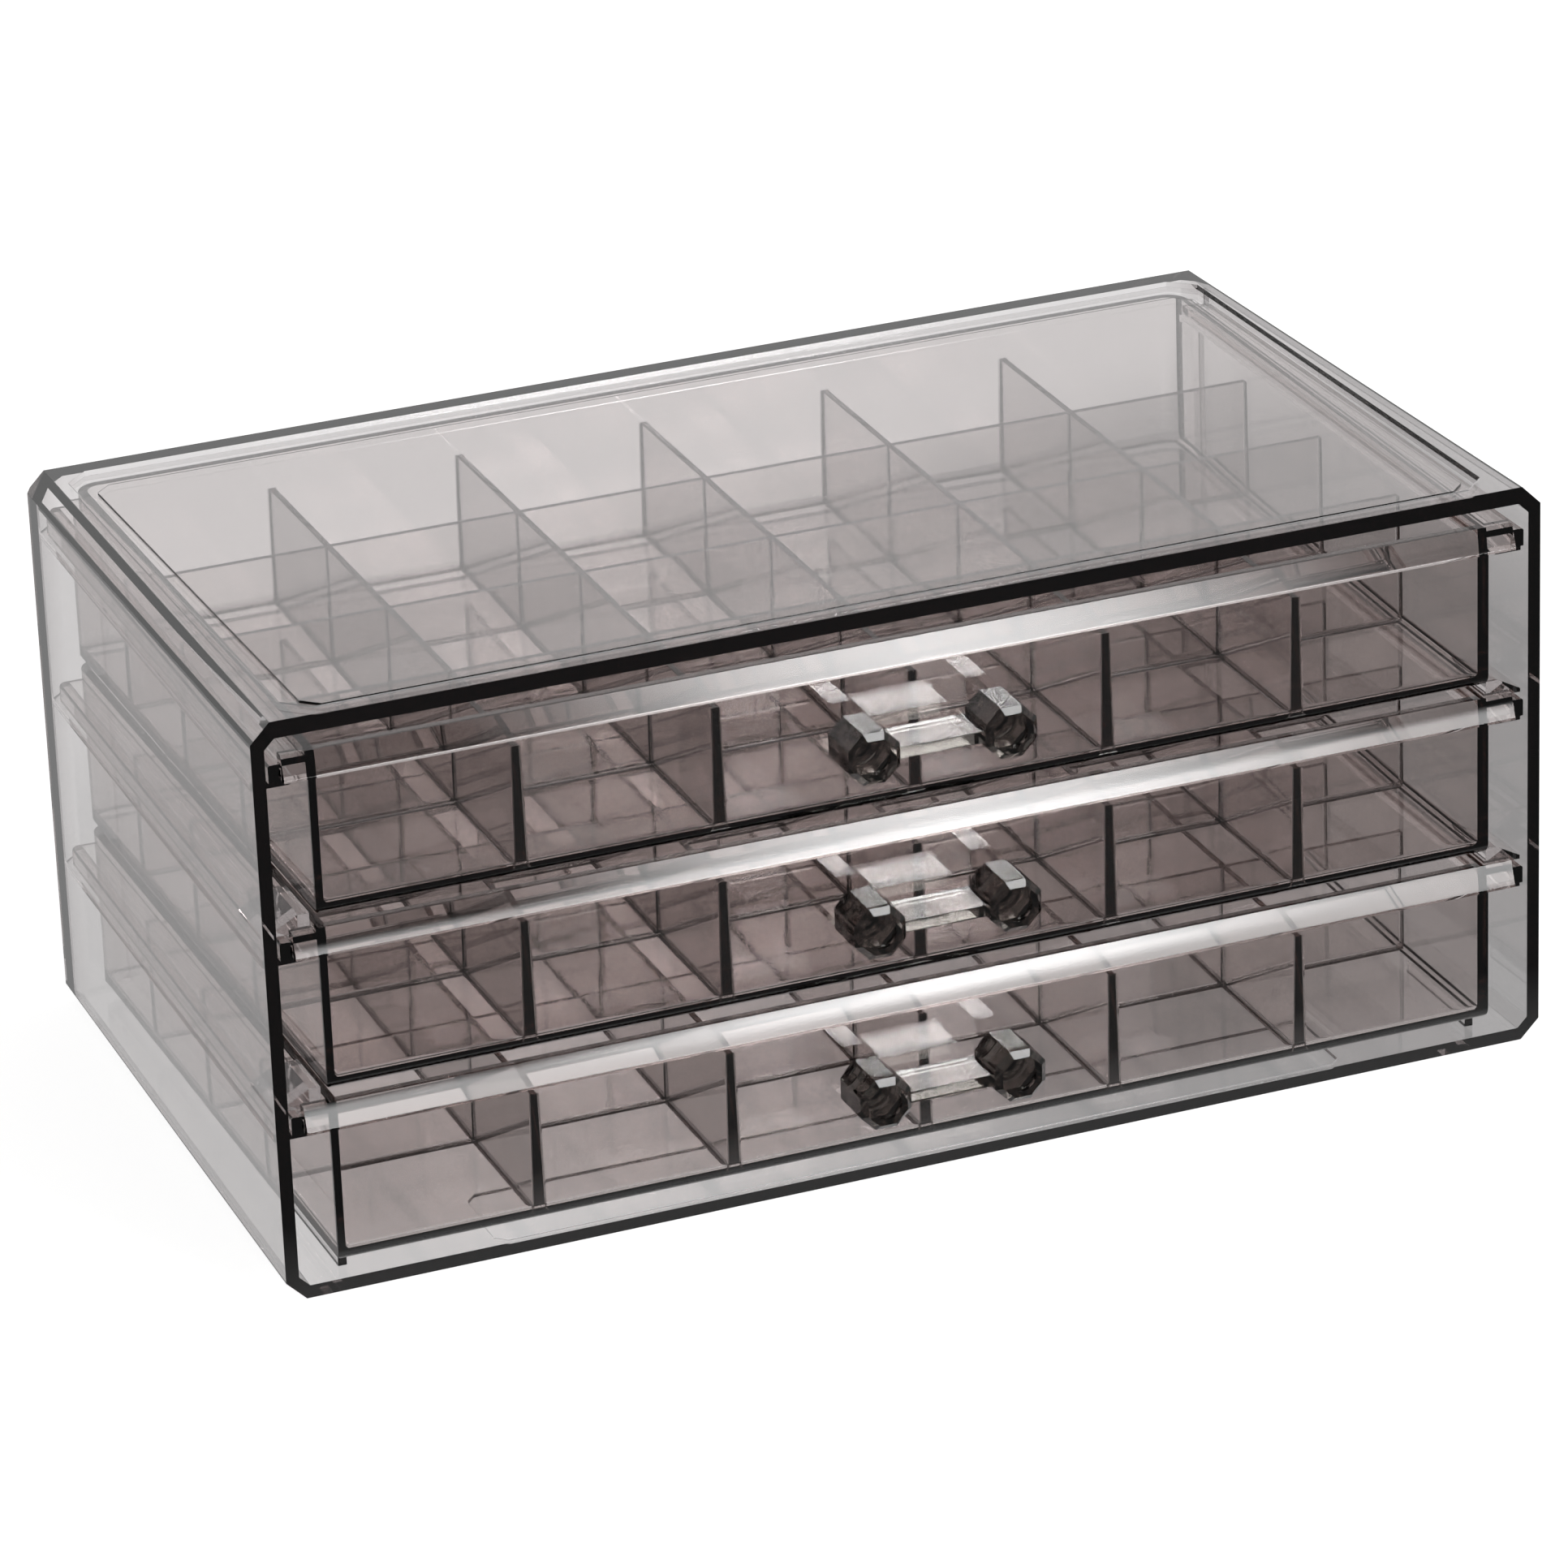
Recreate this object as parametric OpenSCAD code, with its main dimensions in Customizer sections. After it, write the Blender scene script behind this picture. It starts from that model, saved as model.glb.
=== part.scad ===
// Three-drawer jewellery organizer in smoke-tinted clear plastic.
// Each drawer is a tray with an egg-crate of interlocking dividers and a dumbbell pull.
// The origin is the middle of the base: +X right, +Y to the back, +Z up, in millimetres.

/* [Case] */
// Width of the case across its front
case_w = 240; // [220:1:260]
// Depth of the case, front to back
case_d = 135; // [120:1:150]
// Height of the case at its front
case_h = 107.7; // [98:0.1:120]
// Thickness of the case's side and back walls
case_wall = 2.4; // [2:0.1:3]
// Thickness of the case's floor
case_floor = 2.4; // [2:0.1:3]
// Thickness of the case's top, measured at its rim
case_top = 3.1; // [2.8:0.1:4]
// Moulding draft: how far each side closes in from the front to the back
side_draft = 2.3; // [0:0.1:3]
// Moulding draft: how far the top falls from the front to the back
top_draft = 2.6; // [0:0.1:2.8]
// Chamfer on the four long outer edges
edge_chamfer = 3.6; // [2.5:0.1:4.5]
// Chamfer on the long inner corners
inner_chamfer = 1.9; // [1:0.1:2.5]
// Chamfer on the upright inner corners at the back
back_chamfer = 4; // [2:0.5:4.5]
// Chamfer on the upright outer edges at the back
back_edge = 0.8; // [0.4:0.1:1.5]

/* [Top and floor relief] */
// Rim left standing at each side of the sunk top panel
rim_side = 8; // [7:0.5:10]
// Rim left standing at the front of the sunk top panel
rim_front = 3.4; // [2.5:0.1:5]
// Rim left standing at the back of the sunk top panel
rim_back = 4; // [3:0.5:6]
// Cut across the corners of the sunk area
rim_corner = 4.5; // [3:0.5:6]
// Cut across the corners of the raised panel
panel_corner = 3; // [2:0.5:5]
// Depth of the groove round the top panel
groove_depth = 1; // [0.6:0.1:1.2]
// Width of the groove at the sides of the top panel
groove_side = 3.6; // [2:0.2:5]
// Width of the groove at the front of the top panel
groove_front = 1.7; // [1:0.1:3]
// Width of the groove at the back of the top panel
groove_back = 7.5; // [5:0.5:9]
// Height of the top panel above the groove
panel_rise = 0.5; // [0.2:0.1:0.5]
// Width of the shallow recess in the case floor
floor_recess_w = 162; // [120:2:180]
// Length of the shallow recess, front to back
floor_recess_l = 18; // [10:1:30]
// Depth of the shallow recess in the case floor
floor_recess_depth = 0.6; // [0.3:0.1:0.9]
// Lip left standing in front of the shallow recess
floor_recess_lip = 1.2; // [0.8:0.1:2]
// Cut across the corners of the shallow recess
floor_recess_corner = 2; // [1:0.5:4]

/* [Drawers] */
// Space above the top drawer's rim, at the front
head_gap = 3.5; // [3.2:0.1:6]
// Space under the bottom drawer
base_gap = 2.6; // [1.5:0.1:3.5]
// Space between one drawer and the next
drawer_gap = 1.9; // [1.6:0.1:3]
// How far the drawer fronts sit behind the front of the case
front_setback = 0.6; // [0:0.1:2]
// Space behind a closed drawer
rear_gap = 1.4; // [0.8:0.1:3]
// Space between a tray's side wall and the case wall, at the front
side_gap = 7.5; // [7.2:0.1:9]
// Thickness of the trays' side and back walls
tray_wall = 1.7; // [1.4:0.1:2.2]
// Thickness of the trays' fronts
tray_front = 1.8; // [1.5:0.1:2.5]
// Thickness of the trays' floors
tray_floor = 1.6; // [1.2:0.1:2.2]
// Outer radius of the trays' upright back corners
tray_corner_r = 4.5; // [3:0.5:6]
// Chamfer under the trays' long sides
tray_chamfer = 0.9; // [0.5:0.1:1.2]
// Height of the sloped lip along the top of each drawer front
lip_h = 4.7; // [4.4:0.1:6]
// How far the lip's lower edge stands out from the drawer front
lip_proud = 1.5; // [0.8:0.1:2]
// Height of the blunt edge at the foot of the lip's slope
lip_edge = 0.5; // [0.3:0.1:1]
// How far the lip reaches out past the tray's side walls
lip_reach = 4.6; // [3:0.1:5]

/* [Slides] */
// Thickness of the flange along each side of a tray
flange_t = 1.2; // [1:0.1:1.8]
// Distance of the flange's top below the tray's rim
flange_drop = 1.5; // [1.2:0.1:2.4]
// Thickness of the runner that hangs from the flange's outer edge
runner_t = 2.2; // [1.4:0.1:2.6]
// Depth of the runner below the flange's top
runner_h = 3.3; // [2.6:0.1:3.6]
// Least chamfer on the flange's upper outer edge
flange_edge = 0.3; // [0.2:0.1:0.6]
// Running clearance between a drawer and the case
run_gap = 0.3; // [0.2:0.05:0.4]
// Sideways clearance between a runner and the case wall
wall_gap = 0.6; // [0.4:0.1:0.8]
// Height of the rail that carries a runner
rail_h = 1.5; // [1.2:0.1:3]
// How far the rail reaches in past the runner
rail_reach = 2.3; // [1:0.1:2.6]
// Distance of the rails' and guides' front ends behind the drawer fronts
rail_setback = 2.3; // [1:0.1:4]
// Length of the guides, front to back
guide_l = 12; // [8:0.5:20]
// Clearance between a guide and the flange under it
guide_gap = 0.3; // [0.2:0.05:0.6]
// Sideways clearance between a guide and the drawer above
guide_side_gap = 0.6; // [0.4:0.1:1]
// Height of a guide at its inner edge
guide_h = 3.4; // [2.4:0.1:4]
// Height of the guide where it meets the case wall
guide_root_h = 0.7; // [0.5:0.1:1.6]
// Width of the guide's flat top, beside the drawer above
guide_flat = 2; // [1:0.1:2.5]
// Width of the low strips on the case floor under the bottom drawer
strip_w = 1.6; // [1:0.1:3]
// Length of the low strips, front to back
strip_l = 24.5; // [10:0.5:40]
// Distance of the low strips behind the front of the case
strip_front = 4.7; // [3:0.1:10]
// How far the low strips reach in past the inside of the tray's wall
strip_inset = 1; // [0.4:0.1:3]

/* [Dividers] */
// Distance of the dividers' top edges below the tray's rim
divider_drop = 6.8; // [5:0.1:9]
// Thickness of a divider at its top edge
divider_top_t = 1.2; // [1:0.1:1.5]
// Thickness of a divider at its foot
divider_foot_t = 2; // [1.6:0.1:2.4]
// Clearance of the dividers in the tray and in each other
divider_gap = 0.15; // [0.1:0.05:0.25]

/* [Handle] */
// Distance between the middles of the two knobs
knob_span = 25.5; // [22:0.1:30]
// Size of a knob across its flats
knob_across = 9.6; // [8:0.2:12]
// Length of a knob, front to back
knob_l = 11.2; // [8:0.2:14]
// Height of the handle's middle above the tray's underside
handle_z = 14.9; // [12:0.1:17]
// Chamfer round both ends of a knob
knob_chamfer = 1.1; // [0.4:0.1:1.2]
// Diameter of the dimple in a knob's front face
dimple_d = 5.2; // [3:0.2:5.6]
// Depth of the dimple
dimple_depth = 0.7; // [0.3:0.1:1.2]
// Thickness of the bar between the knobs
bar_t = 2.2; // [1.6:0.1:3.2]
// How far the bar stops short of the knobs' ends
bar_inset = 1.2; // [1.2:0.1:3]
// Diameter of the collar that seats on the drawer front
collar_d = 6.4; // [5.6:0.2:7.6]
// Length of the collar
collar_l = 1.8; // [0.6:0.1:2.4]
// Diameter of the peg that plugs into the drawer front
peg_d = 4; // [3:0.1:5]
// Clearance between a peg and its hole, on the radius
peg_gap = 0.1; // [0.05:0.05:0.2]

/* [Hidden] */
$fn = 64;
smoke = [0.42, 0.39, 0.385, 0.45];
clear_smoke = [0.5, 0.47, 0.46, 0.5];
long_count = 5;
cross_count = 3;
// Overlap that joins or cuts through neighbouring solids
over = 1;

front_y = -case_d / 2;
back_y = case_d / 2;
side_slope = side_draft / case_d;
top_slope = top_draft / case_d;
side_angle = atan(side_slope);
top_angle = atan(top_slope);

// Inside of the case at its front
inner_half = case_w / 2 - case_wall;
inner_top = case_h - case_top;
inner_back = back_y - case_wall;

// Drawers, from the inside of the case
tray_half = inner_half - side_gap;
tray_y0 = front_y + front_setback;
tray_y1 = inner_back - rear_gap;
base_z = case_floor + base_gap;
pitch_z = (inner_top - head_gap - base_z + drawer_gap) / 3;
tray_h = pitch_z - drawer_gap;

// Inside of a tray
tray_in_half = tray_half - tray_wall;
tray_in_y0 = tray_y0 + tray_front;
tray_in_y1 = tray_y1 - tray_wall;

// Dividers
divider_h = tray_h - divider_drop - tray_floor;
divider_mid_t = (divider_top_t + divider_foot_t) / 2;
pitch_x = (2 * tray_in_half + tray_wall) / (long_count + 1);
pitch_y = (tray_in_y1 - tray_in_y0 + tray_wall) / (cross_count + 1);

// Slides; the flange's upper edge is cut to clear the case's inner chamfer where the top is lowest
runner_half = inner_half - wall_gap;
flange_y1 = tray_y1 - tray_corner_r;
flange_headroom = head_gap + flange_drop - top_slope * (flange_y1 - front_y);
flange_cut = max(flange_edge, inner_chamfer + sqrt(2) * run_gap - wall_gap - flange_headroom);
rail_in = runner_half - runner_t - rail_reach;
rail_y0 = tray_y0 + rail_setback;
guide_in = tray_half + guide_side_gap;

// Underside of the tray on a level, 0 at the bottom
function tray_z(level) = base_z + level * pitch_z;

// Rim of the tray on a level
function rim_z(level) = tray_z(level) + tray_h;

// Top of the flange along the tray on a level
function flange_z(level) = rim_z(level) - flange_drop;

// Half width, at depth y, of something that is half wide at the front of the case
function drafted_half(half, y) = half - side_slope * (y - front_y);

// Height, at depth y, of something that is h high at the front of the case
function drafted_top(h, y) = h - top_slope * (y - front_y);

// Middle of a divider, counted from 1
function long_x(i) = (i - (long_count + 1) / 2) * pitch_x;
function cross_y(j) = tray_in_y0 - tray_wall / 2 + j * pitch_y;

// Outline, seen from above, between two depths, with cut back corners
module drafted_plan(half, y0, y1, corner) {
    near = drafted_half(half, y0);
    far = drafted_half(half, y1);
    polygon([
        [-near, y0], [near, y0],
        [far, y1 - corner], [far - corner, y1],
        [-far + corner, y1], [-far, y1 - corner]
    ]);
}

// Extrudes a shape drawn in Y and Z across the width
module across(w) {
    rotate([90, 0, 90]) translate([0, 0, -w / 2]) linear_extrude(w) children();
}

// Extrudes a shape drawn in X and Z from depth y0 to depth y1
module along(y0, y1) {
    translate([0, y1, 0]) rotate([90, 0, 0]) linear_extrude(y1 - y0) children();
}

// Cuts one long edge at 45 degrees; turn points the cut away from the solid
module edge_cut(half, z, rise, side, turn, c) {
    reach = 4 * c;
    translate([side * half, front_y, z])
        rotate([rise, 0, side * side_angle])
        rotate([0, side * turn, 0])
        translate([-reach / 2, -reach, -c / sqrt(2)])
        cube([reach, case_d + 2 * reach, reach]);
}

// Block whose sides and top carry the moulding draft, with chamfered long edges
module drafted_block(half, z0, z1, y0, y1, corner, c) {
    difference() {
        intersection() {
            translate([0, 0, z0]) linear_extrude(z1) drafted_plan(half, y0, y1, corner);
            across(3 * half)
                polygon([[y0, z0], [y1, z0], [y1, drafted_top(z1, y1)], [y0, drafted_top(z1, y0)]]);
        }
        for (side = [-1, 1]) {
            edge_cut(half, z1, -top_angle, side, 45, c);
            edge_cut(half, z0, 0, side, 135, c);
        }
    }
}

// Panel outline with cut corners, measured back from the front edge of the case
module panel(half, y0, y1, c) {
    polygon([
        [-half + c, y0], [half - c, y0], [half, y0 + c], [half, y1 - c],
        [half - c, y1], [-half + c, y1], [-half, y1 - c], [-half, y0 + c]
    ]);
}

// Outline of the sunk area on top of the case
module sunk_outline() {
    panel(case_w / 2 - rim_side, rim_front, case_d - rim_back, rim_corner);
}

// Outline of the panel that stands up inside the groove
module raised_outline() {
    panel(case_w / 2 - rim_side - groove_side, rim_front + groove_front,
        case_d - rim_back - groove_back, panel_corner);
}

// What is cut from the top: the sunk area, and a deeper groove round its panel
module top_relief() {
    translate([0, front_y, case_h]) rotate([-top_angle, 0, 0]) {
        translate([0, 0, panel_rise - groove_depth]) linear_extrude(groove_depth + over)
            sunk_outline();
        translate([0, 0, -groove_depth]) linear_extrude(groove_depth + over) difference() {
            sunk_outline();
            raised_outline();
        }
    }
}

// Shallow recess in the case floor, behind its front edge
module floor_recess() {
    translate([0, front_y, case_floor - floor_recess_depth])
        linear_extrude(floor_recess_depth + over)
        panel(floor_recess_w / 2, floor_recess_lip, floor_recess_lip + floor_recess_l,
            floor_recess_corner);
}

// Rail under a drawer's runner, drawn for the right-hand side
module rail(level) {
    top = flange_z(level) - runner_h - run_gap;
    translate([rail_in, rail_y0, top - rail_h]) cube([case_w / 2 - rail_in, case_d, rail_h]);
}

// Short guide that holds a drawer's flange down, beside the drawer above
module guide(level) {
    foot = flange_z(level) + guide_gap;
    along(rail_y0, rail_y0 + guide_l)
        polygon([
            [guide_in, foot], [case_w / 2, foot], [case_w / 2, foot + guide_root_h],
            [inner_half, foot + guide_root_h], [guide_in + guide_flat, foot + guide_h],
            [guide_in, foot + guide_h]
        ]);
}

// Low strip on the case floor under the bottom drawer
module floor_strip() {
    translate([tray_in_half - strip_inset, front_y + strip_front, 0])
        cube([strip_w, strip_l, base_z - run_gap]);
}

// Outer case with its rails, guides and floor strips
module case() {
    color(smoke) {
        difference() {
            drafted_block(case_w / 2, 0, case_h, front_y, back_y, back_edge, edge_chamfer);
            drafted_block(inner_half, case_floor, inner_top, front_y - over, inner_back,
                back_chamfer, inner_chamfer);
            top_relief();
            floor_recess();
        }
        intersection() {
            drafted_block(inner_half + case_wall / 2, case_floor / 2, inner_top + case_top / 2,
                front_y, inner_back + case_wall / 2, back_chamfer, inner_chamfer);
            for (side = [0, 1]) mirror([side, 0, 0]) {
                for (level = [0:2]) rail(level);
                for (level = [0:1]) guide(level);
                floor_strip();
            }
        }
    }
}

// Tray outline seen from above, with round back corners
module tray_plan(half, y0, y1, r) {
    translate([-half, y0]) square([2 * half, y1 - y0 - r]);
    translate([-half + r, y0]) square([2 * (half - r), y1 - y0]);
    for (side = [-1, 1]) translate([side * (half - r), y1 - r]) circle(r);
}

// Body of a tray before it is hollowed, with its long bottom edges chamfered
module tray_block(level) {
    reach = 4 * tray_chamfer;
    difference() {
        translate([0, 0, tray_z(level)]) linear_extrude(tray_h)
            tray_plan(tray_half, tray_y0, tray_y1, tray_corner_r);
        for (side = [-1, 1])
            translate([side * tray_half, front_y - over, tray_z(level)])
                rotate([0, side * 135, 0])
                translate([-reach / 2, 0, -tray_chamfer / sqrt(2)])
                cube([reach, case_d + over, reach]);
    }
}

// Flange with its hanging runner along both sides of a tray
module tray_flange(level) {
    top = flange_z(level);
    difference() {
        translate([0, 0, top - runner_h]) linear_extrude(runner_h)
            drafted_plan(runner_half, tray_y0, flange_y1, over);
        translate([0, 0, top - runner_h - over]) linear_extrude(runner_h + over - flange_t)
            drafted_plan(runner_half - runner_t, tray_y0 - over, flange_y1 + 2 * over, over);
        for (side = [-1, 1]) edge_cut(runner_half, top, 0, side, 45, flange_cut);
    }
}

// Sloped lip across the drawer front
module tray_lip(level) {
    top = rim_z(level);
    across(2 * (tray_half + lip_reach))
        polygon([
            [tray_y0 - lip_proud, top - lip_h], [tray_in_y0, top - lip_h],
            [tray_in_y0, top], [tray_y0, top],
            [tray_y0 - lip_proud, top - lip_h + lip_edge]
        ]);
}

// One drawer tray
module tray(level) {
    color(smoke) difference() {
        union() {
            tray_block(level);
            tray_flange(level);
            tray_lip(level);
        }
        translate([0, 0, tray_z(level) + tray_floor]) linear_extrude(tray_h)
            tray_plan(tray_in_half, tray_in_y0, tray_in_y1, tray_corner_r - tray_wall);
        for (side = [-1, 1])
            translate([side * knob_span / 2, tray_y0 - over, tray_z(level) + handle_z])
                rotate([-90, 0, 0]) cylinder(d = peg_d + 2 * peg_gap, h = tray_front + 2 * over);
    }
}

// Cross-section of a divider, thicker at its foot, standing on z = 0
module divider_section() {
    polygon([
        [-divider_foot_t / 2, 0], [divider_foot_t / 2, 0],
        [divider_top_t / 2, divider_h], [-divider_top_t / 2, divider_h]
    ]);
}

// Divider that runs front to back; its slots open downwards over the cross dividers
module long_divider(level, i) {
    slot = divider_foot_t + 2 * divider_gap;
    color(smoke) translate([long_x(i), 0, tray_z(level) + tray_floor]) difference() {
        along(tray_in_y0 + divider_gap, tray_in_y1 - divider_gap) divider_section();
        for (j = [1:cross_count])
            translate([-divider_foot_t, cross_y(j) - slot / 2, -over])
                cube([2 * divider_foot_t, slot, over + divider_h / 2 + divider_gap]);
    }
}

// Divider that runs side to side; its slots open upwards under the long dividers
module cross_divider(level, j) {
    slot = divider_mid_t + 2 * divider_gap;
    half = tray_in_half - divider_gap;
    color(smoke) translate([0, cross_y(j), tray_z(level) + tray_floor]) difference() {
        rotate([0, 0, 90]) along(-half, half) divider_section();
        for (i = [1:long_count])
            translate([long_x(i) - slot / 2, -divider_foot_t, divider_h / 2 - divider_gap])
                cube([slot, 2 * divider_foot_t, divider_h]);
    }
}

// Knob's side view, chamfered at both ends and drawn wide; turn tilts it about the knob's axis
module knob_slab(turn) {
    half = knob_across / 2;
    flat = half - knob_chamfer;
    front = -knob_l;
    rotate([0, turn, 0]) across(2 * knob_across)
        polygon([
            [0, -flat], [0, flat], [-knob_chamfer, half], [front + knob_chamfer, half],
            [front, flat], [front, -flat], [front + knob_chamfer, -half], [-knob_chamfer, -half]
        ]);
}

// Knob with its collar, peg and dimple; the drawer front is at y = 0
module knob() {
    translate([0, -collar_l, 0]) difference() {
        intersection() {
            knob_slab(0);
            knob_slab(45);
            knob_slab(90);
            knob_slab(135);
        }
        translate([0, dimple_depth - knob_l, 0]) rotate([90, 0, 0])
            cylinder(d = dimple_d, h = dimple_depth + over);
    }
    rotate([90, 0, 0]) cylinder(d = collar_d, h = collar_l + over);
    translate([0, tray_front, 0]) rotate([90, 0, 0]) cylinder(d = peg_d, h = tray_front + over);
}

// Dumbbell pull of one drawer
module handle(level) {
    bar_l = knob_l - 2 * bar_inset;
    color(clear_smoke) translate([0, tray_y0, tray_z(level) + handle_z]) {
        for (side = [-1, 1]) translate([side * knob_span / 2, 0, 0]) knob();
        translate([-knob_span / 2, -collar_l - bar_inset - bar_l, -bar_t / 2])
            cube([knob_span, bar_l, bar_t]);
    }
}

case();
tray(2);  // tray_top
handle(2);  // handle_top
long_divider(2, 1);  // long_divider_top_1
long_divider(2, 2);  // long_divider_top_2
long_divider(2, 3);  // long_divider_top_3
long_divider(2, 4);  // long_divider_top_4
long_divider(2, 5);  // long_divider_top_5
cross_divider(2, 1);  // cross_divider_top_1
cross_divider(2, 2);  // cross_divider_top_2
cross_divider(2, 3);  // cross_divider_top_3
tray(1);  // tray_middle
handle(1);  // handle_middle
long_divider(1, 1);  // long_divider_middle_1
long_divider(1, 2);  // long_divider_middle_2
long_divider(1, 3);  // long_divider_middle_3
long_divider(1, 4);  // long_divider_middle_4
long_divider(1, 5);  // long_divider_middle_5
cross_divider(1, 1);  // cross_divider_middle_1
cross_divider(1, 2);  // cross_divider_middle_2
cross_divider(1, 3);  // cross_divider_middle_3
tray(0);  // tray_bottom
handle(0);  // handle_bottom
long_divider(0, 1);  // long_divider_bottom_1
long_divider(0, 2);  // long_divider_bottom_2
long_divider(0, 3);  // long_divider_bottom_3
long_divider(0, 4);  // long_divider_bottom_4
long_divider(0, 5);  // long_divider_bottom_5
cross_divider(0, 1);  // cross_divider_bottom_1
cross_divider(0, 2);  // cross_divider_bottom_2
cross_divider(0, 3);  // cross_divider_bottom_3
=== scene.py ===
"""Smoke-tinted clear plastic jewellery organizer with three sliding drawers of small compartments."""
from __future__ import annotations

import logging
import math
from dataclasses import dataclass
from enum import Enum
from typing import Any, ClassVar

import bmesh
import bpy
from mathutils import Matrix, Vector

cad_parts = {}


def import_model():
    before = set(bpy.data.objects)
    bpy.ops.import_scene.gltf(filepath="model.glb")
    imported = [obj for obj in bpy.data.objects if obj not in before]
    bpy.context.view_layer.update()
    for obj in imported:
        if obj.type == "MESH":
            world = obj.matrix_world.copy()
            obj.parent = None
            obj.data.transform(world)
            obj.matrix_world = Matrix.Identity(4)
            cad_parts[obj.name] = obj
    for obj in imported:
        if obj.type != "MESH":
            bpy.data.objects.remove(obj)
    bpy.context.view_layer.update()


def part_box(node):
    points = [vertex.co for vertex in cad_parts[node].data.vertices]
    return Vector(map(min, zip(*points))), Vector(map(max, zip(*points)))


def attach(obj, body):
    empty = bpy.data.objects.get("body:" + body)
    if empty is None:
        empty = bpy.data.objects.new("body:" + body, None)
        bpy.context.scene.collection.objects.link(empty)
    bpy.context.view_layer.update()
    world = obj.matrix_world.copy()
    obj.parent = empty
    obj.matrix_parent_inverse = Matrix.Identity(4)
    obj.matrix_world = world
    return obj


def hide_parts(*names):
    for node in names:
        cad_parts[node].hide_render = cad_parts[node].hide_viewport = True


LOG = logging.getLogger("organizer")
MM = 0.001
# Two places that are closer than this count as the same
NEAR = 0.01 * MM
# Bevel profile that makes a circular arc
ARC = 0.5
# A ray's count of bounces above this means that it had at least one
ONE_BOUNCE = 0.5

Pair = tuple[float, float]
Triple = tuple[float, float, float]
Quad = tuple[float, float, float, float]
Colour = tuple[float, float, float, float]

BLACK: Colour = (0.0, 0.0, 0.0, 1.0)
WHITE: Colour = (1.0, 1.0, 1.0, 1.0)


def linear(hex_colour: str) -> Colour:
    """Turns an sRGB hex colour to the linear values that shader sockets take.

    Args:
        hex_colour: Six hex digits after a hash.

    Returns:
        Red, green, blue and an alpha of one.
    """
    parts = [int(hex_colour[i:i + 2], 16) / 255 for i in (1, 3, 5)]
    red, green, blue = (p / 12.92 if p <= 0.04045 else ((p + 0.055) / 1.055) ** 2.4 for p in parts)
    return red, green, blue, 1.0


def add_node(tree: bpy.types.NodeTree, kind: str, inputs: dict[Any, Any] | None = None,
             **settings: Any) -> bpy.types.Node:
    """Adds one node with its settings, input values and links.

    Args:
        tree: The tree that gets the node.
        kind: The node's type name.
        inputs: Input name or number to a value, or to the output socket that feeds it.
        **settings: Properties of the node itself.

    Returns:
        The new node.
    """
    node = tree.nodes.new(kind)
    for name, value in settings.items():
        setattr(node, name, value)
    for key, value in (inputs or {}).items():
        socket = node.inputs[key]
        if isinstance(value, bpy.types.NodeSocket):
            tree.links.new(value, socket)
        else:
            socket.default_value = value
    return node


def calc(tree: bpy.types.NodeTree, operation: str, *values: Any) -> bpy.types.NodeSocket:
    """Adds one math node.

    Args:
        tree: The tree that gets the node.
        operation: The node's operation.
        *values: What it works on, as numbers or output sockets.

    Returns:
        The socket with the result.
    """
    return add_node(tree, "ShaderNodeMath", dict(enumerate(values)), operation=operation).outputs[0]


class Level(Enum):
    """The three drawers, named by where they sit in the case."""

    TOP = "top"
    MIDDLE = "middle"
    BOTTOM = "bottom"

    @property
    def body(self) -> str:
        """Name of the body that slides."""
        return f"drawer_{self.value}"


class Run(Enum):
    """The two ways a divider runs, with the turn that lays its length that way."""

    LENGTHWISE = math.pi / 2
    CROSSWISE = 0.0


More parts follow.
